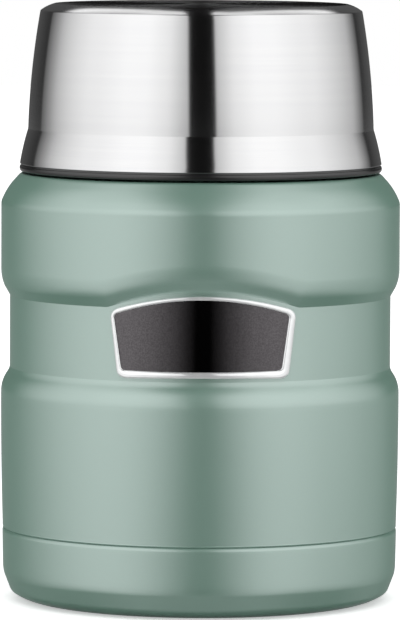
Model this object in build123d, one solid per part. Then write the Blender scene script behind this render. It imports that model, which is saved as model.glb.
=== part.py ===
from build123d import *
import math
import os

# Vacuum-insulated food jar: a painted steel body, a screw-in stopper and a steel bowl lid.
# Millimetres, +Z up. The origin is the centre of the base, on the surface the jar stands on.
# The badge faces -Y. Radii are measured from the axis, heights from the base.

# ---- driving dimensions -------------------------------------------------------------------
HEIGHT = 142.0            # base to lid top
BULGE_R = 47.5            # widest radius of the body
WAIST_R = 45.4            # radius of the waist band
STEEL = 0.6               # wall of the painted outer steel
INNER_STEEL = 0.5         # wall of the food vessel
FOOT_IN_R = 36.9          # the flat ring that the jar stands on
FOOT_OUT_R = 39.0
CUP_SEAM_Z = 17.25        # groove where the bottom cup meets the shell
WAIST_LOW_Z = 55.6        # lower edge of the waist
WAIST_HIGH_Z = 72.65      # crease at the top of the waist
BEVEL_OUT = 1.3           # how far the bevel above the crease goes out
BEVEL_TOP_Z = 74.95       # where the bevel turns into the rounding
BULGE_LOW_Z = 78.9        # where the upper bulge becomes a plain cylinder
SHOULDER_LOW_Z = 94.2     # where the shoulder begins
SHOULDER_Z = 101.7        # flat of the shoulder round the neck
NECK_R = 36.8             # outside of the neck
NECK_TOP_Z = 111.2        # top edge of the outer neck, under the lip
LIP_Z = 112.4             # top of the rolled lip
LIP_ROUND = 0.9           # radius of its two edges
MOUTH_R = 34.8            # inside of the mouth
VESSEL_R = 41.5           # inside of the food vessel
VESSEL_SHOULDER_Z = 87.0  # where the vessel starts to narrow
MOUTH_LOW_Z = 95.0        # where the narrowing reaches the mouth
VESSEL_SEAM_Z = 12.0      # weld between food vessel and its bottom
VESSEL_FLOOR_Z = 9.5      # lowest face of the food vessel's bottom

ARCH_TOP_Z = 76.5         # crease of the arch over the badge, at the middle
ARCH_HALF = 22.2          # half of its width, where it meets the crease of the waist
ARCH_STEPS = 12           # sections of the arch

LEAD = 12.0               # rise of one turn of both threads
STARTS = 3                # ridges of each thread
THREAD_PITCH = LEAD / STARTS
RIDGE_ROOT_W = 2.0        # axial width of a ridge at its root
RIDGE_CREST_W = 1.0       # and at its crest
RIDGE_ARC = 95.0          # degrees that one fixed ridge covers
MATE_ARC = 78.0           # degrees that one ridge of the mating thread covers
MOUTH_THREAD_Z = 101.5    # height of the mouth's ridges at their lower end
LID_THREAD_Z = 116.6      # height of the stopper's outer ridges at their lower end

PLUG_R = 33.2             # outside of the stopper's plug
PLUG_WALL = 1.5
PLUG_BOTTOM_Z = 90.0
SEAL_TOP_Z = 113.6        # top of the stopper's silicone ring
CAP_BOTTOM_Z = 113.9      # underside of the stopper's cap
CAP_R = 37.0              # outside of the cap, without its ridges
CAP_TOP_Z = 121.5         # rim of the cap
CAP_FLOOR_Z = 115.8       # floor of the two finger pockets
GRIP_W = 11.0             # width of the grip bar

LID_STEEL = 0.5
LID_EDGE_Z = 103.95       # lower edge of the steel cover
RIM_LOW_Z = 102.15        # lower face of the dark rim
RIM_R = 43.2
BOWL_WALL = 1.4
BOWL_SKIRT_R = 38.6       # inside of the liner where it carries the thread
BOWL_STEP_Z = 123.0       # step between the threaded skirt and the bowl
BOWL_R = 35.4             # inside of the bowl at that step
BOWL_FLOOR_Z = 139.4      # inside face of the bowl's floor, facing down

BADGE_TOP_Z = 75.6        # top edge of the badge at the middle
BADGE_CORNER_Z = 72.0     # its upper corners
BADGE_LOW_Z = 56.55       # lower edge at the middle
BADGE_LOW_CORNER_Z = 56.25
BADGE_TOP_HALF = 21.7     # half widths across the upper and the lower corners
BADGE_LOW_HALF = 19.9
ADHESIVE = 0.15
PANEL = 0.7
BEZEL = 1.15
FRAME_MARGINS = (0.9, 1.0, 1.75, 1.5, 2.05)  # widths of the badge's border: top, left, right,
                          # and low at the middle and at the corners
PAD_MARGINS = (1.5, 1.5, 1.8, 1.5, 2.0)      # how far the pad stays inside its edge, likewise
BADGE_ROUND = 2.1         # rounding of the badge's corners
PANEL_ROUND = 0.9         # and of the corners of its panel

os.makedirs("parts", exist_ok=True)


# ---- helpers ------------------------------------------------------------------------------
def turned(start, *steps):
    """Turn a closed (radius, height) outline about Z. A step of two points is an arc through
    the first of them, and a step of one point is a straight line."""
    edges = []
    here = start
    for step in steps + (start,):
        if isinstance(step[0], tuple):
            edges.append(ThreePointArc(here, step[0], step[1]))
            here = step[1]
        elif step != here:
            edges.append(Line(here, step))
            here = step
    return revolve(Plane.XZ * make_face(edges), Axis.Z)


def rounding(low, high):
    """Middle point of the arc from low to high that is upright at high."""
    width = high[0] - low[0]
    rise = high[1] - low[1]
    radius = (width ** 2 + rise ** 2) / (2 * width)
    half = math.asin(rise / radius) / 2
    return (high[0] - radius + radius * math.cos(half), high[1] - radius * math.sin(half))


def quarter(wall_r, top_z, towards):
    """Middle point of the lip's quarter round, whose centre lies inwards (-1) or outwards (1)."""
    cut = LIP_ROUND * (1 - math.sqrt(0.5))
    return (wall_r + towards * cut, top_z - cut)


def ridges(root_r, crest_r, low_z, arc, start_deg=0.0):
    """Thread ridges on a wall at root_r, one for each start, at equal angles."""
    path = Helix(pitch=LEAD, height=LEAD * arc / 360, radius=root_r)
    bury = 0.2 if root_r > crest_r else -0.2
    section = Polygon(
        (bury, -RIDGE_ROOT_W / 2),
        (bury, RIDGE_ROOT_W / 2),
        (0, RIDGE_ROOT_W / 2),
        (crest_r - root_r, RIDGE_CREST_W / 2),
        (crest_r - root_r, -RIDGE_CREST_W / 2),
        (0, -RIDGE_ROOT_W / 2),
        align=None,
    )
    start = Plane(origin=path @ 0, x_dir=(1, 0, 0), z_dir=path % 0)
    ridge = sweep(start * section, path=path, is_frenet=True)
    return [
        Pos(0, 0, low_z) * Rot(0, 0, start_deg + 360 * turn / STARTS) * ridge
        for turn in range(STARTS)
    ]


def save(solid, node):
    export_step(solid, f"parts/{node}.step")
    print(node, round(solid.volume, 1))


# ---- painted body -------------------------------------------------------------------------
def arch_cut(inset):
    """What the arch takes out of the upper bulge: a loft through upright sections."""
    waist = WAIST_R - inset
    bulge = BULGE_R - inset + 0.03
    drop = ARCH_TOP_Z - WAIST_HIGH_Z
    arch_r = (ARCH_HALF ** 2 + drop ** 2) / (2 * drop)
    reach = math.asin((ARCH_HALF + 3.5) / WAIST_R)
    sections = []
    for step in range(ARCH_STEPS + 1):
        angle = reach * (2 * step / ARCH_STEPS - 1)
        across = WAIST_R * math.sin(angle)
        crease = ARCH_TOP_Z - arch_r + math.sqrt(arch_r ** 2 - across ** 2)
        lift = crease - WAIST_HIGH_Z
        knee = (waist + BEVEL_OUT, BEVEL_TOP_Z + lift)
        top = BULGE_LOW_Z + lift
        outline = [
            Line((waist - 4, WAIST_LOW_Z + 4), (BULGE_R + 3, WAIST_LOW_Z + 4)),
            Line((BULGE_R + 3, WAIST_LOW_Z + 4), (BULGE_R + 3, top)),
            Line((BULGE_R + 3, top), (bulge, top)),
            ThreePointArc((bulge, top), rounding(knee, (bulge, top)), knee),
            Line(knee, (waist, crease)),
            Line((waist, crease), (waist - 4, crease)),
            Line((waist - 4, crease), (waist - 4, WAIST_LOW_Z + 4)),
        ]
        upright = Plane(
            origin=(0, 0, 0),
            x_dir=(math.sin(angle), -math.cos(angle), 0),
            z_dir=(-math.cos(angle), -math.sin(angle), 0),
        )
        sections.append(upright * make_face(outline))
    return loft(sections)


def body_form(inset, low_z):
    """The body's outer form, or with an inset the space inside its wall."""
    bulge = BULGE_R - inset
    waist = WAIST_R - inset
    knee = (waist + BEVEL_OUT, BEVEL_TOP_Z)
    neck = NECK_R - inset
    flat_z = SHOULDER_Z - inset
    top_z = NECK_TOP_Z + (1 if inset else 0)
    form = turned(
        (0, low_z),
        (bulge - 0.5, low_z),
        (bulge - 0.3, low_z + 0.2),
        ((bulge - 0.1, 34.0), (bulge, 49.6)),
        ((bulge - 0.4, 52.05), (bulge - 1.3, 53.9)),
        ((waist + 0.3, 54.72), (waist, WAIST_LOW_Z)),
        (waist, WAIST_HIGH_Z),
        knee,
        (rounding(knee, (bulge, BULGE_LOW_Z)), (bulge, BULGE_LOW_Z)),
        (bulge, SHOULDER_LOW_Z),
        ((bulge - 0.08, 95.0), (bulge - 0.35, 95.75)),
        ((bulge - 1.8, 98.4), (bulge - 3.7, flat_z - 1.0)),
        ((bulge - 4.3, flat_z - 0.37), (bulge - 4.8, flat_z)),
        (neck + 1.0, flat_z),
        ((neck + 0.3, flat_z + 0.3), (neck, flat_z + 1.0)),
        (neck, top_z),
        (0, top_z),
    )
    core = Pos(0, 0, WAIST_LOW_Z + 2) * Cylinder(
        waist, BULGE_LOW_Z + 8 - WAIST_LOW_Z, align=(Align.CENTER, Align.CENTER, Align.MIN)
    )
    return form - arch_cut(inset) + core


def outer_shell():
    return body_form(0, CUP_SEAM_Z) - body_form(STEEL, CUP_SEAM_Z - 5)


def outer_base():
    side = BULGE_R - 0.4
    return turned(
        (FOOT_OUT_R, 0),
        ((41.95, 0.45), (44.65, 1.75)),
        ((45.08, 2.18), (45.36, 2.7)),
        (46.6, 5.9),
        ((46.82, 6.8), (side - 0.16, 7.9)),
        ((side - 0.07, 12.0), (side, CUP_SEAM_Z - 0.2)),
        (side - 0.2, CUP_SEAM_Z),
        (side - STEEL, CUP_SEAM_Z),
        ((side - STEEL - 0.07, 12.0), (side - STEEL - 0.16, 7.9)),
        ((46.23, 6.9), (46.03, 6.1)),
        (44.8, 2.92),
        ((44.6, 2.57), (44.3, 2.24)),
        ((41.77, 1.02), (FOOT_OUT_R, STEEL)),
        (FOOT_IN_R + 0.5, STEEL),
        (FOOT_IN_R - 1.6, 2.8),
        (1.5, 2.8),
        (1.5, 2.2),
        (FOOT_IN_R - 2.0, 2.2),
        (FOOT_IN_R, 0),
    )


def base_cap():
    return turned((0, 1.7), (32.0, 1.7), ((32.4, 1.9), (32.5, 2.2)), (0, 2.2))


def vacuum_seal():
    return turned(
        (0, 2.2), (1.5, 2.2), (1.5, 2.8), (2.4, 2.8), ((1.7, 3.5), (0.6, 3.8)), (0, 3.8)
    )


# ---- food vessel --------------------------------------------------------------------------
def inner_vessel():
    wall = INNER_STEEL
    vessel = turned(
        (VESSEL_R, VESSEL_SEAM_Z),
        (VESSEL_R, VESSEL_SHOULDER_Z),
        ((40.2, 90.6), (37.5, MOUTH_LOW_Z - 2.1)),
        ((35.5, MOUTH_LOW_Z - 0.8), (MOUTH_R, MOUTH_LOW_Z + 1.4)),
        (MOUTH_R, LIP_Z - LIP_ROUND),
        (quarter(MOUTH_R, LIP_Z, 1), (MOUTH_R + LIP_ROUND, LIP_Z)),
        (NECK_R - LIP_ROUND, LIP_Z),
        (quarter(NECK_R, LIP_Z, -1), (NECK_R, LIP_Z - LIP_ROUND)),
        (NECK_R, NECK_TOP_Z),
        (MOUTH_R + wall, NECK_TOP_Z),
        (MOUTH_R + wall, MOUTH_LOW_Z + 1.6),
        ((35.95, MOUTH_LOW_Z - 0.3), (37.8, MOUTH_LOW_Z - 1.6)),
        ((40.7, 90.9), (VESSEL_R + wall, VESSEL_SHOULDER_Z)),
        (VESSEL_R + wall, VESSEL_SEAM_Z),
    )
    return vessel + ridges(MOUTH_R, MOUTH_R - 1.0, MOUTH_THREAD_Z, RIDGE_ARC)


def inner_bottom():
    wall = INNER_STEEL
    return turned(
        (0, VESSEL_FLOOR_Z),
        (37.5, VESSEL_FLOOR_Z),
        ((41.0, 10.2), (VESSEL_R + wall, VESSEL_SEAM_Z)),
        (VESSEL_R, VESSEL_SEAM_Z),
        ((40.6, 10.6), (37.5, VESSEL_FLOOR_Z + wall)),
        (0, VESSEL_FLOOR_Z + wall),
    )


def radiation_shield():
    inside = VESSEL_R + INNER_STEEL + 0.05
    return turned(
        (inside, VESSEL_SEAM_Z + 1),
        (inside + 0.15, VESSEL_SEAM_Z + 1),
        (inside + 0.15, VESSEL_SHOULDER_Z - 1),
        (inside, VESSEL_SHOULDER_Z - 1),
    )


def getter_holder():
    cup = turned(
        (0, VESSEL_FLOOR_Z - 2.8), (6.0, VESSEL_FLOOR_Z - 2.8), (6.0, VESSEL_FLOOR_Z),
        (5.6, VESSEL_FLOOR_Z), (5.6, VESSEL_FLOOR_Z - 2.4), (0, VESSEL_FLOOR_Z - 2.4),
    )
    return Pos(15, 0, 0) * cup


def getter():
    pellet = turned(
        (0, VESSEL_FLOOR_Z - 2.4), (5.0, VESSEL_FLOOR_Z - 2.4),
        (5.0, VESSEL_FLOOR_Z - 0.3), (0, VESSEL_FLOOR_Z - 0.3),
    )
    return Pos(15, 0, 0) * pellet


# ---- badge --------------------------------------------------------------------------------
def badge_outline(top, left, right, low, low_corner, corner):
    """The badge's outline seen from the front, drawn in by its margins. The lower one is given at
    the middle and at the corners."""
    top_z = BADGE_CORNER_Z - top
    low_z = BADGE_LOW_CORNER_Z + low_corner
    outline = make_face([
        ThreePointArc(
            (-BADGE_TOP_HALF + left, top_z), (0, BADGE_TOP_Z - top), (BADGE_TOP_HALF - right, top_z)
        ),
        Line((BADGE_TOP_HALF - right, top_z), (BADGE_LOW_HALF - right, low_z)),
        ThreePointArc(
            (BADGE_LOW_HALF - right, low_z), (0, BADGE_LOW_Z + low), (-BADGE_LOW_HALF + left, low_z)
        ),
        Line((-BADGE_LOW_HALF + left, low_z), (-BADGE_TOP_HALF + left, top_z)),
    ])
    return fillet(outline.vertices(), corner)


def on_waist(outline, low_r, high_r):
    """A plate of that outline, bent round the waist between two radii."""
    block = extrude(Plane.XZ * outline, amount=BULGE_R + 5)
    span = BADGE_TOP_Z - BADGE_LOW_Z + 4
    tube = Cylinder(high_r, span) - Cylinder(low_r, span)
    return block & (Pos(0, 0, (BADGE_TOP_Z + BADGE_LOW_Z) / 2) * tube)


def badge_bezel():
    ring = badge_outline(0, 0, 0, 0, 0, BADGE_ROUND) - badge_outline(*FRAME_MARGINS, PANEL_ROUND)
    return on_waist(ring, WAIST_R + ADHESIVE, WAIST_R + BEZEL)


def badge_panel():
    return on_waist(badge_outline(*FRAME_MARGINS, PANEL_ROUND), WAIST_R + ADHESIVE, WAIST_R + PANEL)


def badge_adhesive():
    return on_waist(badge_outline(*PAD_MARGINS, PANEL_ROUND), WAIST_R, WAIST_R + ADHESIVE)


# ---- stopper ------------------------------------------------------------------------------
def stopper_seal():
    inside = PLUG_R + 0.4
    outside = NECK_R - 0.4
    return turned(
        (inside, LIP_Z),
        (MOUTH_R + 1.8, LIP_Z),
        (outside, LIP_Z + 0.4),
        (outside, SEAL_TOP_Z),
        (inside, SEAL_TOP_Z),
    )


def stopper_plug():
    inner = PLUG_R - PLUG_WALL
    plug = turned(
        (0, PLUG_BOTTOM_Z),
        (PLUG_R - 4.0, PLUG_BOTTOM_Z),
        ((PLUG_R - 1.2, PLUG_BOTTOM_Z + 1.2), (PLUG_R, PLUG_BOTTOM_Z + 4.0)),
        (PLUG_R, CAP_BOTTOM_Z),
        (inner, CAP_BOTTOM_Z),
        (inner, PLUG_BOTTOM_Z + 4.5),
        ((inner - 1.0, PLUG_BOTTOM_Z + 2.4), (inner - 3.2, PLUG_BOTTOM_Z + PLUG_WALL)),
        (0, PLUG_BOTTOM_Z + PLUG_WALL),
    )
    low_z = MOUTH_THREAD_Z - THREAD_PITCH / 2 + LEAD * 8 / 360
    return plug + ridges(PLUG_R, PLUG_R + 1.2, low_z, MATE_ARC, 8)


def stopper_foam():
    return turned(
        (0, PLUG_BOTTOM_Z + PLUG_WALL),
        (27.5, PLUG_BOTTOM_Z + PLUG_WALL),
        (PLUG_R - PLUG_WALL - 0.2, PLUG_BOTTOM_Z + 5.5),
        (PLUG_R - PLUG_WALL - 0.2, CAP_BOTTOM_Z),
        (0, CAP_BOTTOM_Z),
    )


def stopper_cap():
    cap = turned(
        (0, CAP_BOTTOM_Z),
        (CAP_R - 0.4, CAP_BOTTOM_Z),
        (CAP_R, CAP_BOTTOM_Z + 0.4),
        (CAP_R, CAP_TOP_Z - 0.5),
        (CAP_R - 0.5, CAP_TOP_Z),
        (CAP_R - 2.2, CAP_TOP_Z),
        ((CAP_R - 2.8, CAP_TOP_Z - 0.2), (CAP_R - 3.0, CAP_TOP_Z - 0.8)),
        (CAP_R - 3.4, CAP_FLOOR_Z + 1.4),
        ((CAP_R - 3.9, CAP_FLOOR_Z + 0.4), (CAP_R - 5.0, CAP_FLOOR_Z)),
        (0, CAP_FLOOR_Z),
    )
    bar = Pos(0, 0, CAP_FLOOR_Z - 0.5) * Box(
        2 * (CAP_R - 2.9), GRIP_W, CAP_TOP_Z - 0.6 - CAP_FLOOR_Z + 0.5,
        align=(Align.CENTER, Align.CENTER, Align.MIN),
    )
    upper = [e for e in bar.edges().filter_by(Axis.X) if e.center().Z > CAP_FLOOR_Z]
    bar = fillet(upper, 1.8)
    return cap + bar + ridges(CAP_R, CAP_R + 1.0, LID_THREAD_Z, RIDGE_ARC)


# ---- lid ----------------------------------------------------------------------------------
def lid_shell():
    wall = LID_STEEL
    return turned(
        (0, HEIGHT),
        (35.0, HEIGHT),
        ((36.6, HEIGHT - 0.6), (37.95, HEIGHT - 1.4)),
        ((38.22, HEIGHT - 1.68), (38.36, HEIGHT - 2.03)),
        ((40.32, 125.4), (41.15, 112.3)),
        ((42.3, 108.1), (43.1, LID_EDGE_Z)),
        (43.1 - wall, LID_EDGE_Z),
        ((42.3 - wall, 108.1), (41.15 - wall, 112.3)),
        ((40.32 - wall, 125.4), (37.87, HEIGHT - 2.11)),
        ((37.8, HEIGHT - 1.95), (37.66, HEIGHT - 1.81)),
        ((36.38, HEIGHT - 1.05), (34.95, HEIGHT - wall)),
        (0, HEIGHT - wall),
    )


def lid_rim_ring():
    inside = BOWL_SKIRT_R + 0.5
    return turned(
        (inside, RIM_LOW_Z + 0.4),
        (inside + 0.4, RIM_LOW_Z),
        (RIM_R - 0.7, RIM_LOW_Z),
        ((RIM_R - 0.15, RIM_LOW_Z + 0.2), (RIM_R, RIM_LOW_Z + 0.7)),
        (RIM_R, LID_EDGE_Z - 0.3),
        (RIM_R - 0.3, LID_EDGE_Z),
        (inside, LID_EDGE_Z),
    )


def lid_bowl():
    wall = BOWL_WALL
    skirt = BOWL_SKIRT_R
    ceiling = BOWL_FLOOR_Z
    bowl = turned(
        (0, ceiling),
        (BOWL_R - 7.0, ceiling),
        ((BOWL_R - 2.6, ceiling - 1.6), (BOWL_R - 0.8, ceiling - 5.6)),
        (BOWL_R, BOWL_STEP_Z),
        (skirt - 0.2, BOWL_STEP_Z),
        (skirt, BOWL_STEP_Z - 0.2),
        (skirt, 112.0),
        (skirt + 1.0, LID_EDGE_Z),
        (skirt + 1.0 + wall, LID_EDGE_Z),
        (skirt + wall, 112.0),
        (skirt + wall - 0.7, BOWL_STEP_Z + wall - 0.4),
        (skirt + wall - 1.1, BOWL_STEP_Z + wall),
        (BOWL_R + wall, BOWL_STEP_Z + wall),
        (BOWL_R + wall - 0.8, ceiling - 5.0),
        ((BOWL_R - 1.5, ceiling - 0.4), (BOWL_R - 6.6, ceiling + wall)),
        (0, ceiling + wall),
    )
    low_z = LID_THREAD_Z - THREAD_PITCH / 2 + LEAD * 8 / 360
    return bowl + ridges(skirt, skirt - 1.2, low_z, MATE_ARC, 8)


def lid_seal():
    return turned(
        (BOWL_R + 0.2, CAP_TOP_Z),
        (CAP_R - 0.6, CAP_TOP_Z),
        (BOWL_SKIRT_R - 0.4, CAP_TOP_Z + 0.4),
        (BOWL_SKIRT_R - 0.4, BOWL_STEP_Z),
        (BOWL_R + 0.2, BOWL_STEP_Z),
    )


PIECES = [
    outer_shell, outer_base, base_cap, vacuum_seal,
    inner_vessel, inner_bottom, radiation_shield, getter_holder, getter,
    badge_bezel, badge_panel, badge_adhesive,
    stopper_seal, stopper_plug, stopper_foam, stopper_cap,
    lid_shell, lid_rim_ring, lid_bowl, lid_seal,
]

for piece in PIECES:
    save(piece(), piece.__name__)
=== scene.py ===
import math

import bmesh
import bpy
from mathutils import Matrix, Vector


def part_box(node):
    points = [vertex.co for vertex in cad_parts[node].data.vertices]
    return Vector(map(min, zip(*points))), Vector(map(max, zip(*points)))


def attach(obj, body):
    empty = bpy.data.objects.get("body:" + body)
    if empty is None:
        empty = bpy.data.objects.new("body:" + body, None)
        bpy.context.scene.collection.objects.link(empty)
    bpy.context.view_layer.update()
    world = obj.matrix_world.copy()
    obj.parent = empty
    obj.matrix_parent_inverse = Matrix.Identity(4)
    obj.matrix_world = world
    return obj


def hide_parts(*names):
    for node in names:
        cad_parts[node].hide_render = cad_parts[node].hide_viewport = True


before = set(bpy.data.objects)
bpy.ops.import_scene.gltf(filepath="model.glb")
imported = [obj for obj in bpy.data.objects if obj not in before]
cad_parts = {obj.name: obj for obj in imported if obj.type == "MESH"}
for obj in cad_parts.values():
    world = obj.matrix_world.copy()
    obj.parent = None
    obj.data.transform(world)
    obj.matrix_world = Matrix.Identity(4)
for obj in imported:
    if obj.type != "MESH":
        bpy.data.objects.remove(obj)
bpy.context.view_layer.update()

MM = 0.001

# ---- sizes of the turned pieces, in millimetres --------------------------------------------
HEIGHT = 142.0
BULGE_R = 47.5                 # the body where it is widest
WAIST_R = 45.4
WALL = 0.6                     # thickness of the painted wall and of the bottom cup
SEAM_Z = 17.25                 # the groove between wall and bottom cup
CUP_R = BULGE_R - 0.4
FOOT_R = 39.0                  # outside of the ring that the jar stands on
FOOT_IN_R = 36.9
DISC_LOW_Z = 2.2               # underside of the recessed disc in the foot
PORT_R = 1.5                   # the hole in its middle
WAIST_LOW_Z = 55.6
CREASE_Z = 72.65               # where the waist ends and the bevel over it begins
BEVEL_OUT = 1.3
BEVEL_TOP_Z = 74.95
ROUNDING_TOP_Z = 78.9
SHOULDER_LOW_Z = 94.2
SHOULDER_Z = 101.7
NECK_R = 36.8
NECK_TOP_Z = 111.2
ARCH_RISE = 3.85               # the arch in the crease, over the badge
ARCH_HALF = 22.2
LID_EDGE_Z = 103.95
LID_FLARE_Z = 112.3            # under this the lid's side flares out
LID_WALL = 0.5
RIM_LOW_Z = 102.15
RIM_IN_R = 39.1
RIM_TOP_R = 42.75

PATH_R = 60.0                  # the circle that outlines run along, wider than any of them
FINE_SEGMENTS = 360
SEGMENTS = 240
TURNED_SHARP = 14.0            # an edge that turns more than this, in degrees, stays sharp
STEP_DEGREES = 5.0             # the most that one step of an arc turns
STEP_CHORD = 1.2               # and its greatest length
LONG_RUN = 1.5                 # a straight run longer than this gets a point near each end
RUN_END = 0.25
FOLLOW_MARGIN = 0.3            # how far past crease and rounding the points follow the arch

# ---- the badge, in millimetres -------------------------------------------------------------
BADGE_TOP_Z = 75.6
BADGE_CORNER_Z = 72.0
BADGE_LOW_Z = 56.55
BADGE_LOW_CORNER_Z = 56.25
BADGE_TOP_HALF = 21.7
BADGE_LOW_HALF = 19.9
BADGE_BACK_R = WAIST_R + 0.15
BADGE_FRONT_R = WAIST_R + 1.15
PANEL_R = WAIST_R + 0.7

# The frame's widths: top, left, right, and below at its middle and at its corners.
FRAME_MARGINS = (0.9, 1.0, 1.75, 1.5, 2.05)
FRAME_ROUND = 2.1              # rounding of its outer corners
FRAME_ROUND_LOSS = 1.2         # how much less its inner corners have
FRAME_SHARP = 50.0
# Its bead: the share of the frame's width, from outside in, and the radius there.
FRAME_SECTION = (
    (0.0, BADGE_BACK_R), (0.0, BADGE_BACK_R + 0.45), (0.03, BADGE_FRONT_R - 0.3),
    (0.12, BADGE_FRONT_R - 0.1), (0.28, BADGE_FRONT_R - 0.02), (0.5, BADGE_FRONT_R),
    (0.7, BADGE_FRONT_R - 0.03), (0.85, BADGE_FRONT_R - 0.13), (0.95, BADGE_FRONT_R - 0.3),
    (1.0, PANEL_R - 0.1), (1.0, BADGE_BACK_R),
)
# Faces along its top and its bottom, along its ends, and round a corner.
LEVEL_PARTS = 30
END_PARTS = 14
CORNER_PARTS = 12
# Each side is drawn this finely first, so that a corner can begin anywhere on it.
FINE_PARTS = 240
FINE_DEGREES = 0.1

# ---- camera and lights, in metres ----------------------------------------------------------
CAMERA_DISTANCE = 1.42
CAMERA_HEIGHT = 0.1802
CAMERA_ROUND = math.radians(-1.0)     # how far round the jar it stands, from the badge side
CAMERA_TILT = math.radians(4.48)
CAMERA_ROLL = math.radians(0.25)
CAMERA_SIDE = -0.00004                # how far left of the jar's axis it stands
CAMERA_FAR = 50.0
CAMERA_LENS = 346.4                   # this and the sensor are in millimetres
SENSOR_WIDTH = 36.0

FLOOR_R = 3.0
FLOOR_GLOW = 0.4
SKY_LEVEL = 0.85
LAMP_PLACE = (0.0, -0.3, 1.6)
LAMP_SIZE = 1.6
LAMP_POWER = 6.0
JAR_MIDDLE = (0, 0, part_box("lid_shell")[1].z / 2)

# The jar mirrors a dome of light. The tables give its brightness by the angle round the jar in
# degrees: 0 is towards the camera and 90 to its right. The lid leans in and mirrors the upper
# wall. The upright body mirrors the lower one.
DOME_R = 4.0
UPPER_LEFT = (
    (-164, 0.055), (-150, 0.045), (-137, 0.026), (-134, 0.02), (-132, 0.12), (-129, 0.16),
    (-125, 0.235), (-120, 0.33), (-114, 0.48), (-109, 0.57), (-103, 0.66), (-95, 0.76),
    (-83, 0.87), (-72, 0.9), (-52, 1.0), (-37, 1.0), (-22, 0.86), (-11, 0.57),
)
UPPER_RIGHT = (
    (11, 0.57), (22, 0.86), (37, 1.0), (52, 1.0), (72, 0.9), (83, 0.87), (95, 0.76),
    (103, 0.68), (110, 0.6), (118, 0.51), (122, 0.46), (125, 0.38), (130, 0.25), (134, 0.16),
    (137.5, 0.08), (139, 0.022), (150, 0.05), (164, 0.065),
)
LOWER = (
    (-165, 0.28), (-144, 0.17), (-129, 0.21), (-111, 0.42), (-97, 0.63), (-81, 0.86),
    (-67, 1.0), (-53, 1.02), (-41, 0.96), (-29, 0.74), (-17, 0.4), (-8, 0.11), (-2.5, 0.0),
    (6, 0.0), (12, 0.1), (20.6, 0.37), (32, 0.75), (45, 0.92), (61, 0.87), (78, 0.7),
    (94, 0.64), (107, 0.53), (124, 0.45), (138, 0.28), (150, 0.18), (165, 0.28),
)
# What that brightness is multiplied by, by the height over the horizon in degrees.
BY_HEIGHT = (
    (-40, 0.98), (-20, 0.98), (-5, 0.98), (-3.7, 1.11), (1, 1.35), (33, 1.42), (50, 1.2),
    (70, 1.05), (90, 0.95),
)
# Heights and angles in degrees, and places across the dome as shares of its radius. A pair is
# the two ends of a soft change.
HORIZON = (-2.8, -0.8)         # from the lower wall to the upper one
TO_BACK = (0.1, -0.1)          # from the front half of the dome to the back half
CEILING_FADE = (20.0, 60.0)
BACK_EDGE_MIDDLE = 62.0        # where the ceiling begins behind the jar
BACK_EDGE_SIDES = 34.0
BACK_EDGE_SPREAD = (0.06, 0.26)
BACK_EDGE_SHIFT = 0.02
BACK_EDGE_SOFT = 4.0
DIM_BEGINS = (88.0, 130.0)     # the dimmer part of the ceiling, round the jar
DIM_ENDS = (140.0, 156.0)
DIM_TOP = (74.0, 62.0)
DIM_SHARE = 0.7
SLIT_SHIFT = 0.027
SLIT_LEAN = 0.09
SLIT_LEAN_LOW = 0.05
SLIT_LEAN_HIGH = 0.4
SLIT_HALF = 0.0785             # half of its half width towards the camera
SLIT_LEAST_HALF = 0.052
SLIT_SOFT = (0.93, 1.06)
SLIT_OPENS = (36.0, 56.0)
SLIT_WIDE = (0.06, 0.5)
SLIT_WIDE_SHIFT = 0.03
SLIT_LEVEL = 0.006             # it isn't quite black
ASIDE = (40.0, 80.0)           # from the front to the sides
WALL_FOOT = (-46.0, -27.0)
WALL_FOOT_RISE = 9.0           # how much higher it is at the sides
DARK_FLOOR_LEVEL = 0.2
DARK_FLOOR_BACK_LOSS = 0.1
DARK_FLOOR_SIDE_SHARE = 0.4    # the share that it loses at the sides


# ---- node helpers --------------------------------------------------------------------------
def shade(red, green, blue):
    """A colour given as it looks on a screen, 0 to 255, as the linear values a shader wants."""
    linear = []
    for value in (red, green, blue):
        value = value / 255
        linear.append(value / 12.92 if value <= 0.04045 else ((value + 0.055) / 1.055) ** 2.4)
    return (*linear, 1.0)


class Wire:
    """The output of a node. Sums and products of wires add Math nodes."""

    def __init__(self, board, socket):
        self.board = board
        self.socket = socket

    def beside(self, out):
        """Another output of the same node."""
        return Wire(self.board, self.socket.node.outputs[out])

    def maths(self, operation, *others, first=None):
        """A Math node that takes this wire, or first, and then the others."""
        values = [self if first is None else first, *others]
        return self.board.node("ShaderNodeMath", {"operation": operation}, dict(enumerate(values)))

    def __add__(self, other):
        return self.maths("ADD", other)

    __radd__ = __add__

    def __sub__(self, other):
        return self.maths("SUBTRACT", other)

    def __rsub__(self, other):
        return self.maths("SUBTRACT", self, first=other)

    def __mul__(self, other):
        return self.maths("MULTIPLY", other)

    __rmul__ = __mul__

    def __truediv__(self, other):
        return self.maths("DIVIDE", other)

    def __neg__(self):
        return self * -1.0


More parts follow.
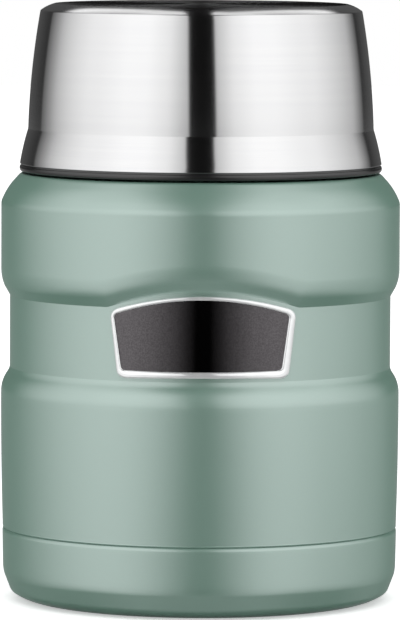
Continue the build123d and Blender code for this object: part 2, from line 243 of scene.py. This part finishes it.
class Board:
    """A node tree that is being built."""

    def __init__(self, tree):
        self.tree = tree

    def node(self, kind, settings=None, inputs=None, out=0):
        """Adds a node and gives the wire of one output. settings come first. inputs holds a
        value or a wire for each socket, by name or number."""
        made = self.tree.nodes.new(kind)
        for key, value in (settings or {}).items():
            if key == "stops":
                self.set_stops(made.color_ramp, value)
            else:
                setattr(made, key, value)
        for key, value in (inputs or {}).items():
            if isinstance(value, Wire):
                self.tree.links.new(value.socket, made.inputs[key])
            else:
                made.inputs[key].default_value = value
        return Wire(self, made.outputs[out]) if made.outputs else None

    def set_stops(self, ramp, stops):
        """Gives a ramp its stops, which are pairs of a place from 0 to 1 and a level."""
        while len(ramp.elements) < len(stops):
            ramp.elements.new(1.0)
        for element, (place, level) in zip(ramp.elements, stops):
            element.position = place
            element.color = (level, level, level, 1.0)

    def split(self, vector):
        """The x, y and z of a vector."""
        axes = self.node("ShaderNodeSeparateXYZ", inputs={0: vector})
        return [axes.beside(number) for number in range(3)]

    def vector(self, x, y, z):
        return self.node("ShaderNodeCombineXYZ", inputs={0: x, 1: y, 2: z})


class Finish(Board):
    """A material or world that is being built, node by node."""

    def __init__(self, owner):
        owner.use_nodes = True
        super().__init__(owner.node_tree)
        self.owner = owner
        self.tree.nodes.clear()

    def place(self):
        """Object coordinates in millimetres: x, y and z."""
        axes = self.split(self.node("ShaderNodeTexCoord", out="Object"))
        return [axis * (1 / MM) for axis in axes]

    def where(self):
        """Object coordinates in millimetres, as one vector."""
        return self.vector(*self.place())

    def where_turned(self, along, across):
        """Coordinates that draw a pattern out round the jar's axis, as turning or brushing
        leaves it."""
        x, y, z = self.place()
        away = (x * x + y * y).maths("SQRT")
        return self.vector(x * along, y * along, (z + away) * across)

    def noise(self, vector, scale, detail=2.0, roughness=0.5):
        """Noise from about 0 to 1, centred on 0.5."""
        sizes = {"Vector": vector, "Scale": scale, "Detail": detail, "Roughness": roughness}
        return self.node("ShaderNodeTexNoise", inputs=sizes)

    def span(self, value, low, high, to_low=0.0, to_high=1.0, kind="SMOOTHSTEP"):
        """value between low and high, taken to the range from to_low to to_high."""
        limits = {
            "Value": value, "From Min": low, "From Max": high, "To Min": to_low, "To Max": to_high,
        }
        return self.node("ShaderNodeMapRange", {"interpolation_type": kind}, limits)

    def vary(self, pattern, least, most, low=0.3, high=0.7):
        """A number that runs from least to most as the pattern goes from low to high."""
        return self.span(pattern, low, high, least, most)

    def tint(self, pattern, dark, light, low=0.3, high=0.7):
        """A colour that runs from dark to light as the pattern goes from low to high."""
        amount = self.span(pattern, low, high)
        colours = {0: amount, 6: shade(*dark), 7: shade(*light)}
        return self.node("ShaderNodeMix", {"data_type": "RGBA"}, colours, out=2)

    def bump(self, height, depth):
        """A bumped normal. depth is what a height of 1 stands for, in millimetres."""
        sizes = {"Height": height, "Distance": depth * MM, "Strength": 1.0}
        return self.node("ShaderNodeBump", inputs=sizes)

    def principled(self, **inputs):
        """Finishes the material, with the shader's sockets by name."""
        named = {key.replace("_", " "): value for key, value in inputs.items()}
        shader = self.node("ShaderNodeBsdfPrincipled", inputs=named)
        self.node("ShaderNodeOutputMaterial", inputs={"Surface": shader})
        return self.owner


def new_finish(name):
    return Finish(bpy.data.materials.new(name))


# ---- finishes ------------------------------------------------------------------------------
def duck_egg_paint():
    """Satin paint over steel: a soft grey-green body under a hard clear sheen, with fine flakes
    and a faint orange peel."""
    mat = new_finish("duck_egg_paint")
    where = mat.where()
    flakes = mat.noise(where, 9.0, detail=1.0)
    peel = mat.noise(where, 0.9)
    return mat.principled(
        Base_Color=mat.tint(flakes, (99, 138, 121), (106, 145, 128)),
        Metallic=0.0,
        IOR=3.6,
        Specular_Tint=(0.94, 1.0, 1.0, 1.0),
        Roughness=0.28,
        Normal=mat.bump(peel * 0.7 + flakes * 0.3, 0.004),
    )


def brushed_lid_steel():
    """Steel brushed round the lid: long fine lines that blur what it mirrors up and down."""
    mat = new_finish("brushed_lid_steel")
    lines = mat.noise(mat.where_turned(0.03, 9.0), 1.0, detail=4.0, roughness=0.7)
    bands = mat.noise(mat.where_turned(0.012, 0.9), 1.0)
    return mat.principled(
        Base_Color=mat.tint(lines * 0.7 + bands * 0.3, (214, 214, 215), (218, 218, 218)),
        Metallic=1.0,
        Roughness=mat.vary(lines, 0.13, 0.16, low=0.25, high=0.75),
        Anisotropic=0.95,
        Anisotropic_Rotation=0.25,
        Normal=mat.bump(lines, 0.0004),
    )


def satin_steel(name, dark, light, least_rough, most_rough):
    """Drawn or spun steel with faint turning lines."""
    mat = new_finish(name)
    lines = mat.noise(mat.where_turned(0.04, 3.0), 1.0, detail=3.0)
    return mat.principled(
        Base_Color=mat.tint(lines, dark, light),
        Metallic=1.0,
        Roughness=mat.vary(lines, least_rough, most_rough),
        Normal=mat.bump(lines, 0.003),
    )


def black_plastic():
    """Moulded black plastic with the fine grain of its mould and a trace of wear."""
    mat = new_finish("black_plastic")
    where = mat.where()
    grain = mat.noise(where, 5.0)
    wear = mat.noise(where, 0.08, detail=3.0)
    return mat.principled(
        Base_Color=mat.tint(wear, (14, 14, 15), (20, 20, 21), low=0.35),
        IOR=1.75,
        Roughness=mat.vary(wear, 0.15, 0.2),
        Normal=mat.bump(grain, 0.006),
    )


def badge_silver():
    """Bright silver plating with a trace of unevenness."""
    mat = new_finish("badge_silver")
    haze = mat.noise(mat.where(), 0.5)
    return mat.principled(
        Base_Color=mat.tint(haze, (240, 241, 242), (247, 248, 248)),
        Metallic=0.55,
        Roughness=mat.vary(haze, 0.08, 0.12),
        Normal=mat.bump(haze, 0.002),
    )


def badge_black():
    """Dark plated panel with a fine speckle."""
    mat = new_finish("badge_black")
    where = mat.where()
    cells = {"Vector": where, "Scale": 2.6, "Smoothness": 0.6}
    pebble = mat.node("ShaderNodeTexVoronoi", {"feature": "SMOOTH_F1"}, cells)
    speckle = mat.noise(where, 3.4)
    return mat.principled(
        Base_Color=mat.tint(speckle, (86, 83, 85), (102, 99, 101), low=0.35, high=0.65),
        Metallic=1.0,
        Roughness=mat.vary(speckle, 0.04, 0.06),
        Normal=mat.bump(pebble * 0.5 + speckle * 0.5, 0.003),
    )


def silicone():
    """Grey sealing rubber with a powdery skin."""
    mat = new_finish("silicone")
    powder = mat.noise(mat.where(), 1.4, detail=3.0)
    return mat.principled(
        Base_Color=mat.tint(powder, (150, 152, 152), (166, 168, 168)),
        Roughness=mat.vary(powder, 0.48, 0.6),
        Normal=mat.bump(powder, 0.008),
    )


def insulating_foam():
    """Cream foam with open cells."""
    mat = new_finish("insulating_foam")
    cells = mat.node("ShaderNodeTexVoronoi", inputs={"Vector": mat.where(), "Scale": 1.1})
    return mat.principled(
        Base_Color=mat.tint(cells, (206, 196, 160), (238, 232, 208), low=0.1, high=0.6),
        Roughness=0.9,
        Normal=mat.bump(cells, 0.25),
    )


def copper_foil():
    """Thin copper with wrinkles that run up and down."""
    mat = new_finish("copper_foil")
    x, y, z = mat.place()
    wrinkle = mat.noise(mat.vector(x * 0.3, y * 0.3, z * 0.12), 1.0, detail=4.0)
    return mat.principled(
        Base_Color=mat.tint(wrinkle, (196, 128, 96), (226, 158, 122)),
        Metallic=1.0,
        Roughness=mat.vary(wrinkle, 0.16, 0.26),
        Normal=mat.bump(wrinkle, 0.2),
    )


def speckled(name, dark, light, roughness, scale, depth, metallic=0.0):
    """A plain grainy finish for small hidden pieces."""
    mat = new_finish(name)
    grain = mat.noise(mat.where(), scale, detail=3.0)
    return mat.principled(
        Base_Color=mat.tint(grain, dark, light),
        Metallic=metallic,
        Roughness=roughness,
        Normal=mat.bump(grain, depth),
    )


# ---- outlines ------------------------------------------------------------------------------
def bend(first, middle, last, degrees=STEP_DEGREES):
    """Points after first on the arc from first through middle to last: no step turns more than
    degrees or is longer than STEP_CHORD."""
    (ax, ay), (bx, by), (cx, cy) = first, middle, last
    a, b, c = ax * ax + ay * ay, bx * bx + by * by, cx * cx + cy * cy
    double = 2 * (ax * (by - cy) + bx * (cy - ay) + cx * (ay - by))
    ux = (a * (by - cy) + b * (cy - ay) + c * (ay - by)) / double
    uy = (a * (cx - bx) + b * (ax - cx) + c * (bx - ax)) / double
    radius = math.hypot(ax - ux, ay - uy)
    begin = math.atan2(ay - uy, ax - ux)
    sweep = (math.atan2(cy - uy, cx - ux) - begin) % math.tau
    if (math.atan2(by - uy, bx - ux) - begin) % math.tau > sweep:
        sweep -= math.tau
    by_turn = math.ceil(abs(math.degrees(sweep)) / degrees)
    by_length = math.ceil(radius * abs(sweep) / STEP_CHORD)
    count = max(4, by_turn, by_length)
    angles = [begin + sweep * step / count for step in range(1, count + 1)]
    return [(ux + radius * math.cos(angle), uy + radius * math.sin(angle)) for angle in angles]


def outline(start, *steps):
    """Points of a (radius, height) outline. A step of two points is an arc through the first of
    them. A long straight run gets a point near each end, so that its shading stays straight."""
    points = [start]
    for step in steps:
        here = points[-1]
        if isinstance(step[0], tuple):
            points += bend(here, *step)
            continue
        length = math.dist(here, step)
        if length > LONG_RUN:
            for share in (RUN_END / length, 1 - RUN_END / length):
                points.append(tuple(a + (b - a) * share for a, b in zip(here, step)))
        points.append(step)
    return points


def closed_outline(start, *steps):
    """Points of an outline that runs back to its start."""
    return outline(start, *steps, start)[:-1]


def rounding(low, high):
    """Middle point of the arc from low to high that is upright at high."""
    width = high[0] - low[0]
    rise = high[1] - low[1]
    radius = (width ** 2 + rise ** 2) / (2 * width)
    half = math.asin(rise / radius) / 2
    return (high[0] - radius + radius * math.cos(half), high[1] - radius * math.sin(half))


def body_side(inset):
    """One side of the painted wall, from the seam up to the top of the neck."""
    bulge, waist, neck = BULGE_R - inset, WAIST_R - inset, NECK_R - inset
    flat = SHOULDER_Z - inset
    knee = (waist + BEVEL_OUT, BEVEL_TOP_Z)
    rounded = (bulge, ROUNDING_TOP_Z)
    return outline(
        # lip at the seam, lower bulge and the hollow over it
        (bulge - 0.72 + inset / 3, SEAM_Z),
        ((bulge - 0.53, SEAM_Z + 0.12), (bulge - 0.46, SEAM_Z + 0.45)),
        ((bulge - 0.1, 34.0), (bulge, 49.6)),
        ((bulge - 0.4, 52.05), (bulge - 1.3, 53.9)),
        ((waist + 0.3, 54.72), (waist, WAIST_LOW_Z)),
        # waist, bevel and the rounding into the upper bulge
        (waist, CREASE_Z),
        knee,
        (rounding(knee, rounded), rounded),
        (bulge, SHOULDER_LOW_Z),
        # shoulder
        ((bulge - 0.08, 95.0), (bulge - 0.35, 95.75)),
        ((bulge - 1.8, 98.4), (bulge - 3.7, flat - 1.0)),
        ((bulge - 4.3, flat - 0.37), (bulge - 4.8, flat)),
        # neck, under the lid
        (neck + 1.0, flat),
        ((neck + 0.3, flat + 0.3), (neck, flat + 1.0)),
        (neck, NECK_TOP_Z),
    )


def cup_side():
    """The bottom cup, from the middle of its foot up outside, and back inside and underneath."""
    inside = CUP_R - WALL
    seam = SEAM_Z - 0.06
    return closed_outline(
        (FOOT_R, 0),
        # outside: round from the foot, a short cone and up to the lip at the seam
        ((41.95, 0.45), (44.65, 1.75)),
        ((45.08, 2.18), (45.36, 2.7)),
        (46.6, 5.9),
        ((46.82, 6.8), (CUP_R - 0.16, 7.9)),
        ((CUP_R - 0.07, 12.0), (CUP_R, SEAM_Z - 1.0)),
        ((CUP_R - 0.1, SEAM_Z - 0.48), (CUP_R - 0.38, seam)),
        # inside, down again to the foot
        (inside, seam),
        ((inside - 0.07, 12.0), (inside - 0.16, 7.9)),
        ((46.23, 6.9), (46.03, 6.1)),
        (44.8, 2.92),
        ((44.6, 2.57), (44.3, 2.24)),
        ((41.77, 1.02), (FOOT_R, WALL)),
        (FOOT_IN_R + 0.5, WALL),
        # the recessed disc, over and under
        (35.3, DISC_LOW_Z + WALL),
        (PORT_R, DISC_LOW_Z + WALL),
        (PORT_R, DISC_LOW_Z),
        (34.9, DISC_LOW_Z),
        (FOOT_IN_R, 0),
    )


def lid_side():
    """The steel cover of the lid, from the middle of its top round its edge and back inside."""
    under = HEIGHT - LID_WALL
    return outline(
        (0, HEIGHT),
        # rounded shoulder and the edge under it
        (35.0, HEIGHT),
        ((36.65, HEIGHT - 0.62), (38.1, HEIGHT - 1.49)),
        ((38.24, HEIGHT - 1.63), (38.32, HEIGHT - 1.82)),
        # side, which flares out below
        ((40.32, 125.4), (41.15, LID_FLARE_Z)),
        ((42.29, 108.1), (43.07, LID_EDGE_Z + 0.2)),
        # rolled lower edge
        ((43.05, LID_EDGE_Z + 0.06), (42.93, LID_EDGE_Z)),
        (RIM_TOP_R, LID_EDGE_Z),
        (42.6, LID_EDGE_Z + 0.2),
        # inside
        ((42.3 - LID_WALL, 108.1), (41.15 - LID_WALL, LID_FLARE_Z)),
        ((40.32 - LID_WALL, 125.4), (37.87, HEIGHT - 2.11)),
        ((37.8, HEIGHT - 1.95), (37.66, HEIGHT - 1.81)),
        ((36.38, HEIGHT - 1.05), (34.95, under)),
        (0, under),
    )


def rim_side():
    """The dark rim: a bead with a shallow step under the steel edge."""
    return closed_outline(
        (RIM_IN_R, RIM_LOW_Z + 0.4),
        (RIM_IN_R + 0.4, RIM_LOW_Z),
        (42.5, RIM_LOW_Z),
        ((42.93, RIM_LOW_Z + 0.16), (43.12, RIM_LOW_Z + 0.55)),
        ((43.16, RIM_LOW_Z + 0.85), (43.1, RIM_LOW_Z + 1.2)),
        ((43.0, RIM_LOW_Z + 1.35), (42.8, RIM_LOW_Z + 1.4)),
        (RIM_TOP_R, LID_EDGE_Z),
        (RIM_IN_R, LID_EDGE_Z),
    )


# ---- turning -------------------------------------------------------------------------------
def turning_recipe():
    """Turns an outline about Z. Points whose follow value is 1 rise with the arch over the badge:
    a parabola across the front, which is as high as Arch Rise and ends at Arch Half."""
    tree = bpy.data.node_groups.new("turning", "GeometryNodeTree")
    sockets = {
        "Outline": "NodeSocketGeometry",
        "Segments": "NodeSocketInt",
        "Path Radius": "NodeSocketFloat",
        "Arch Rise": "NodeSocketFloat",
        "Arch Half": "NodeSocketFloat",
        "Waist Radius": "NodeSocketFloat",
        "Finish": "NodeSocketMaterial",
    }
    for name, kind in sockets.items():
        tree.interface.new_socket(name, in_out="INPUT", socket_type=kind)
    tree.interface.new_socket("Piece", in_out="OUTPUT", socket_type="NodeSocketGeometry")
    board = Board(tree)
    group = board.node("NodeGroupInput")
    given = {name: group.beside(name) for name in sockets}

    side = board.node("GeometryNodeMeshToCurve", inputs={"Mesh": given["Outline"]})
    sizes = {"Resolution": given["Segments"], "Radius": given["Path Radius"]}
    circle = board.node("GeometryNodeCurvePrimitiveCircle", inputs=sizes)
    path = board.node("GeometryNodeSetCurveNormal", {"mode": "Z_UP"}, {"Curve": circle})
    turned = board.node("GeometryNodeCurveToMesh", inputs={"Curve": path, "Profile Curve": side})

    x, y, z = board.split(board.node("GeometryNodeInputPosition"))
    away = (x * x + y * y).maths("SQRT").maths("MAXIMUM", 1e-6)
    across = x / away * given["Waist Radius"] / given["Arch Half"]
    front = (-y).maths("GREATER_THAN", 0.0)
    lift = (1 - across * across).maths("MAXIMUM", 0.0) * given["Arch Rise"] * front
    named = {"data_type": "FLOAT"}
    follow = board.node("GeometryNodeInputNamedAttribute", named, {"Name": "follow"})
    moved = {"Geometry": turned, "Offset": board.vector(0.0, 0.0, lift * follow)}
    raised = board.node("GeometryNodeSetPosition", inputs=moved)

    merged = {"Geometry": raised, "Distance": 1e-6}
    closed = board.node("GeometryNodeMergeByDistance", inputs=merged)
    solid = board.node("GeometryNodeRealizeInstances", inputs={"Geometry": closed})
    finished = {"Geometry": solid, "Material": given["Finish"]}
    piece = board.node("GeometryNodeSetMaterial", inputs=finished)
    board.node("NodeGroupOutput", inputs={"Piece": piece})
    return tree


def link(obj):
    bpy.context.scene.collection.objects.link(obj)
    return obj


def set_input(modifier, name, value):
    """Sets a named input of a Geometry Nodes modifier by its identifier."""
    for item in modifier.node_group.interface.items_tree:
        if item.item_type == "SOCKET" and item.in_out == "INPUT" and item.name == name:
            modifier[item.identifier] = value
            return
    raise KeyError(name)


def write_out(work, mesh, sharp):
    """Writes a bmesh into a mesh with its faces turned outwards and its shading smooth, but for
    edges that turn more than sharp, in degrees."""
    bmesh.ops.recalc_face_normals(work, faces=work.faces)
    work.to_mesh(mesh)
    work.free()
    mesh.shade_smooth()
    mesh.set_sharp_from_angle(angle=math.radians(sharp))


def turn(name, points, finish, segments=SEGMENTS, closed=True, rise=0.0):
    """A piece turned from an outline. With rise, the crease and rounding of the waist follow the
    arch over the badge."""
    mesh = bpy.data.meshes.new(name + "_outline")
    count = len(points)
    links = [(i, (i + 1) % count) for i in range(count if closed else count - 1)]
    mesh.from_pydata([((r - PATH_R) * MM, -z * MM, 0) for r, z in points], links, [])
    follow = mesh.attributes.new("follow", "FLOAT", "POINT")
    for place, (_, z) in zip(follow.data, points):
        with_arch = CREASE_Z - FOLLOW_MARGIN < z < ROUNDING_TOP_Z + FOLLOW_MARGIN
        place.value = 1.0 if with_arch else 0.0
    draft = link(bpy.data.objects.new(name + "_outline", mesh))
    turning = draft.modifiers.new("turning", "NODES")
    turning.node_group = TURNING
    values = {
        "Segments": segments, "Path Radius": PATH_R * MM, "Arch Rise": rise * MM,
        "Arch Half": ARCH_HALF * MM, "Waist Radius": WAIST_R * MM, "Finish": finish,
    }
    for key, value in values.items():
        set_input(turning, key, value)
    turned = draft.evaluated_get(bpy.context.evaluated_depsgraph_get())
    shape = bpy.data.meshes.new_from_object(turned)
    bpy.data.objects.remove(draft)
    shape.name = name
    work = bmesh.new()
    work.from_mesh(shape)
    write_out(work, shape, TURNED_SHARP)
    return link(bpy.data.objects.new(name, shape))


# ---- badge ---------------------------------------------------------------------------------
def straight(first, last):
    """Closely spaced points from first to last."""
    shares = [i / FINE_PARTS for i in range(FINE_PARTS + 1)]
    return [tuple(a + (b - a) * share for a, b in zip(first, last)) for share in shares]


def curved(first, middle, last):
    """Closely spaced points on the arc from first through middle to last."""
    return [first] + bend(first, middle, last, degrees=FINE_DEGREES)


def corner_points(here, tip, there):
    """Points of a smooth turn from here to there, drawn towards tip."""
    shares = [i / CORNER_PARTS for i in range(1, CORNER_PARTS)]
    return [
        tuple(
            (1 - share) ** 2 * a + 2 * share * (1 - share) * b + share ** 2 * c
            for a, b, c in zip(here, tip, there)
        )
        for share in shares
    ]


def badge_loop(share, corner):
    """The badge's outline seen from the front, drawn in by a share of the frame's widths, as
    (x, z) points. Its four corners are rounded over a length of about corner."""
    top, left, right, low, low_corner = [margin * share for margin in FRAME_MARGINS]
    top_z, bottom_z = BADGE_CORNER_Z - top, BADGE_LOW_CORNER_Z + low_corner
    top_left, top_right = (-BADGE_TOP_HALF + left, top_z), (BADGE_TOP_HALF - right, top_z)
    low_right, low_left = (BADGE_LOW_HALF - right, bottom_z), (-BADGE_LOW_HALF + left, bottom_z)
    sides = [
        (curved(top_left, (0, BADGE_TOP_Z - top), top_right), LEVEL_PARTS),
        (straight(top_right, low_right), END_PARTS),
        (curved(low_right, (0, BADGE_LOW_Z + low), low_left), LEVEL_PARTS),
        (straight(low_left, top_left), END_PARTS),
    ]
    loop = []
    for (side, parts), (after, _) in zip(sides, sides[1:] + sides[:1]):
        start, tip = side[0], side[-1]
        kept = [p for p in side if min(math.dist(p, start), math.dist(p, tip)) >= corner]
        loop += [kept[round(i * (len(kept) - 1) / parts)] for i in range(parts + 1)]
        there = next(p for p in after if math.dist(p, after[0]) >= corner)
        loop += corner_points(kept[-1], tip, there)
    return loop


def bent_point(x, z, radius):
    """A point of the badge, seen at x from the front, on a cylinder round the jar."""
    return Vector((x, -math.sqrt(radius * radius - x * x), z)) * MM


def badge_frame(finish):
    """The bright frame: a rounded bead that runs round the badge and follows the waist."""
    work = bmesh.new()
    rings = []
    for share, radius in FRAME_SECTION:
        loop = badge_loop(share, FRAME_ROUND - FRAME_ROUND_LOSS * share)
        rings.append([work.verts.new(bent_point(x, z, radius)) for x, z in loop])
    for ring, after in zip(rings, rings[1:] + rings[:1]):
        for i in range(len(ring)):
            j = (i + 1) % len(ring)
            work.faces.new((ring[i], ring[j], after[j], after[i]))
    mesh = bpy.data.meshes.new("badge_frame")
    write_out(work, mesh, FRAME_SHARP)
    mesh.materials.append(finish)
    return link(bpy.data.objects.new("badge_frame", mesh))


# ---- dressing the pieces -------------------------------------------------------------------
def dress(node, finish):
    """Gives a CAD piece its finish."""
    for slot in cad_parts[node].material_slots:
        slot.material = finish


def stand_in(piece, node, body):
    """Puts a finer piece in the place of a CAD node."""
    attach(piece, body)
    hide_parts(node)


TURNING = turning_recipe()
paint = duck_egg_paint()
steel = brushed_lid_steel()
silver = badge_silver()
vessel_steel = satin_steel("vessel_steel", (196, 196, 195), (214, 214, 213), 0.26, 0.34)
base_steel = satin_steel("base_steel", (188, 188, 188), (206, 206, 206), 0.3, 0.4)
plastic = black_plastic()
rubber = silicone()
bead_metal = speckled("bead_metal", (150, 148, 140), (186, 184, 176), 0.4, 2.0, 0.02, 1.0)
getter_metal = speckled("getter_metal", (70, 70, 72), (104, 104, 106), 0.75, 3.0, 0.05, 0.6)
adhesive_pad = speckled("adhesive_pad", (90, 90, 92), (112, 112, 114), 0.8, 1.5, 0.02)

FINISHES = {
    "outer_shell": paint,
    "outer_base": paint,
    "base_cap": base_steel,
    "getter_holder": base_steel,
    "inner_vessel": vessel_steel,
    "inner_bottom": vessel_steel,
    "radiation_shield": copper_foil(),
    "vacuum_seal": bead_metal,
    "getter": getter_metal,
    "badge_bezel": silver,
    "badge_panel": badge_black(),
    "badge_adhesive": adhesive_pad,
    "stopper_seal": rubber,
    "lid_seal": rubber,
    "stopper_plug": plastic,
    "stopper_cap": plastic,
    "stopper_foam": insulating_foam(),
    "lid_shell": steel,
    "lid_rim_ring": plastic,
    "lid_bowl": plastic,
}
for node_name, finish_of_node in FINISHES.items():
    dress(node_name, finish_of_node)

body_wall = turn(
    "body_wall", body_side(0.0) + body_side(WALL)[::-1], paint, FINE_SEGMENTS, rise=ARCH_RISE
)
stand_in(body_wall, "outer_shell", "jar")
stand_in(turn("bottom_cup", cup_side(), paint), "outer_base", "jar")
stand_in(turn("lid_cover", lid_side(), steel, closed=False), "lid_shell", "lid")
stand_in(turn("lid_rim", rim_side(), plastic), "lid_rim_ring", "lid")
stand_in(badge_frame(silver), "badge_bezel", "jar")


# ---- studio --------------------------------------------------------------------------------
def stage_piece(name, work, finish):
    """A piece of the studio, made from a bmesh."""
    mesh = bpy.data.meshes.new(name)
    work.to_mesh(mesh)
    work.free()
    mesh.materials.append(finish)
    piece = link(bpy.data.objects.new(name, mesh))
    return piece


def by_angle(mat, angle, levels, reach):
    """The level that a table gives for an angle, which goes from -reach to reach."""
    stops = [((place + reach) / (2 * reach), level) for place, level in levels]
    share = (angle + reach) / (2 * reach)
    return mat.node("ShaderNodeValToRGB", {"stops": stops}, {"Fac": share})


def dome_light(mat):
    """How bright the dome is in each direction."""
    place = mat.split(mat.node("ShaderNodeTexCoord", out="Object"))
    x, y, z = [axis / DOME_R for axis in place]
    round_x, round_y = math.cos(CAMERA_ROUND), math.sin(CAMERA_ROUND)
    across = x * round_x + y * round_y
    front = x * round_y - y * round_x
    behind = mat.span(front, *TO_BACK)
    azimuth = across.maths("ARCTAN2", front) * math.degrees(1)
    sideways = azimuth.maths("ABSOLUTE")
    height = z.maths("ARCSINE") * math.degrees(1)

    # The upper wall, and the lower wall from just under the horizon.
    low = mat.span(height, *HORIZON, 1.0, 0.0)
    upper = by_angle(mat, azimuth, UPPER_LEFT, 180.0)
    upper_right = by_angle(mat, azimuth, UPPER_RIGHT, 180.0)
    upper = upper + (upper_right - upper) * across.maths("GREATER_THAN", 0.0)
    wall = upper + (by_angle(mat, azimuth, LOWER, 180.0) - upper) * low

    # The ceiling. Behind the jar it begins at an edge that is higher in the middle, and it is
    # dimmer towards the back of either side, but not overhead.
    ceiling = mat.span(height, *CEILING_FADE, kind="LINEAR")
    from_edge_middle = (across - BACK_EDGE_SHIFT).maths("ABSOLUTE")
    edge = mat.span(from_edge_middle, *BACK_EDGE_SPREAD, BACK_EDGE_MIDDLE, BACK_EDGE_SIDES)
    over_edge = mat.span(height - edge, -BACK_EDGE_SOFT, BACK_EDGE_SOFT)
    ceiling = ceiling + (over_edge - ceiling) * behind
    dim = mat.span(sideways, *DIM_BEGINS) - mat.span(sideways, *DIM_ENDS)
    dim = dim * mat.span(height, *DIM_TOP)
    wall = wall.maths("MAXIMUM", ceiling * (1 - DIM_SHARE * dim))

    # The dark slit between the softboxes. It leans a little, opens wide over the camera, and
    # isn't in the lower wall, whose table has its own.
    leaning = z.maths("MAXIMUM", SLIT_LEAN_LOW).maths("MINIMUM", SLIT_LEAN_HIGH)
    centre = SLIT_SHIFT - leaning * SLIT_LEAN
    half = ((front + 1) * SLIT_HALF).maths("MAXIMUM", SLIT_LEAST_HALF)
    narrow = mat.span((across - centre).maths("ABSOLUTE") / half, *SLIT_SOFT)
    wide = mat.span((across + SLIT_WIDE_SHIFT).maths("ABSOLUTE"), *SLIT_WIDE)
    slit = narrow + (wide - narrow) * mat.span(height, *SLIT_OPENS) * (1 - behind)
    slit = slit + (1 - slit) * low

    # Below, the walls end over a dark floor, a little higher at the sides.
    aside = mat.span(sideways, *ASIDE)
    over = mat.span(height - aside * WALL_FOOT_RISE, *WALL_FOOT)
    dark_floor = (1 - over) * (DARK_FLOOR_LEVEL - behind * DARK_FLOOR_BACK_LOSS)
    dark_floor = dark_floor * (1 - aside * DARK_FLOOR_SIDE_SHARE)
    factor = by_angle(mat, height, BY_HEIGHT, 90.0)
    return wall * factor * over * slit + SLIT_LEVEL + dark_floor


def studio_dome():
    """A round wall of two large softboxes with a dark slit between them, over the camera, and a
    dark band behind the jar. Only what mirrors it sees it."""
    mat = new_finish("studio_dome")
    glow = mat.node("ShaderNodeEmission", inputs={"Strength": dome_light(mat)})
    mat.node("ShaderNodeOutputMaterial", inputs={"Surface": glow})
    ball = bmesh.new()
    bmesh.ops.create_uvsphere(ball, u_segments=96, v_segments=48, radius=DOME_R)
    dome = stage_piece("studio_dome", ball, mat.owner)
    dome.visible_camera = False
    dome.visible_diffuse = False
    dome.visible_shadow = False


def seen_directly(mat):
    """1 for a ray from the camera, or one that a mirror or glass sends on, and 0 otherwise."""
    camera_ray = mat.node("ShaderNodeLightPath", out="Is Camera Ray")
    others = camera_ray.beside("Is Glossy Ray") + camera_ray.beside("Is Transmission Ray")
    return (camera_ray + others).maths("MINIMUM", 1.0)


def floor():
    """A pale floor that looks white and keeps the jar's shadow."""
    mat = new_finish("floor")
    mat.principled(
        Base_Color=shade(250, 250, 250),
        Roughness=0.9,
        Emission_Color=(1, 1, 1, 1),
        Emission_Strength=seen_directly(mat) * FLOOR_GLOW,
    )
    disc = bmesh.new()
    bmesh.ops.create_circle(disc, cap_ends=True, segments=128, radius=FLOOR_R)
    ground = stage_piece("floor", disc, mat.owner)
    ground.visible_glossy = False


def sky():
    """White behind the jar, and a plain even light on it."""
    world = bpy.data.worlds.new("studio")
    bpy.context.scene.world = world
    mat = Finish(world)
    strength = SKY_LEVEL + seen_directly(mat) * (1.0 - SKY_LEVEL)
    back = mat.node("ShaderNodeBackground", inputs={"Color": (1, 1, 1, 1), "Strength": strength})
    mat.node("ShaderNodeOutputWorld", inputs={"Surface": back})


def top_box():
    """A soft lamp over the jar."""
    lamp = bpy.data.lights.new("top_box", "AREA")
    lamp.shape = "RECTANGLE"
    lamp.size = lamp.size_y = LAMP_SIZE
    lamp.energy = LAMP_POWER
    box = link(bpy.data.objects.new("top_box", lamp))
    box.location = LAMP_PLACE
    aim = Vector(JAR_MIDDLE) - Vector(LAMP_PLACE)
    box.rotation_euler = aim.to_track_quat("-Z", "Y").to_euler()
    box.visible_camera = False
    box.visible_glossy = False


def camera():
    seat = bpy.data.cameras.new("camera")
    seat.lens = CAMERA_LENS
    seat.sensor_width = SENSOR_WIDTH
    seat.clip_end = CAMERA_FAR
    view = link(bpy.data.objects.new("camera", seat))
    view.matrix_world = (
        Matrix.Rotation(CAMERA_ROUND, 4, "Z")
        @ Matrix.Translation((CAMERA_SIDE, -CAMERA_DISTANCE, CAMERA_HEIGHT))
        @ Matrix.Rotation(math.pi / 2 - CAMERA_TILT, 4, "X")
        @ Matrix.Rotation(CAMERA_ROLL, 4, "Z")
    )
    bpy.context.scene.camera = view


studio_dome()
floor()
sky()
top_box()
camera()
bpy.context.scene.view_settings.view_transform = "Standard"
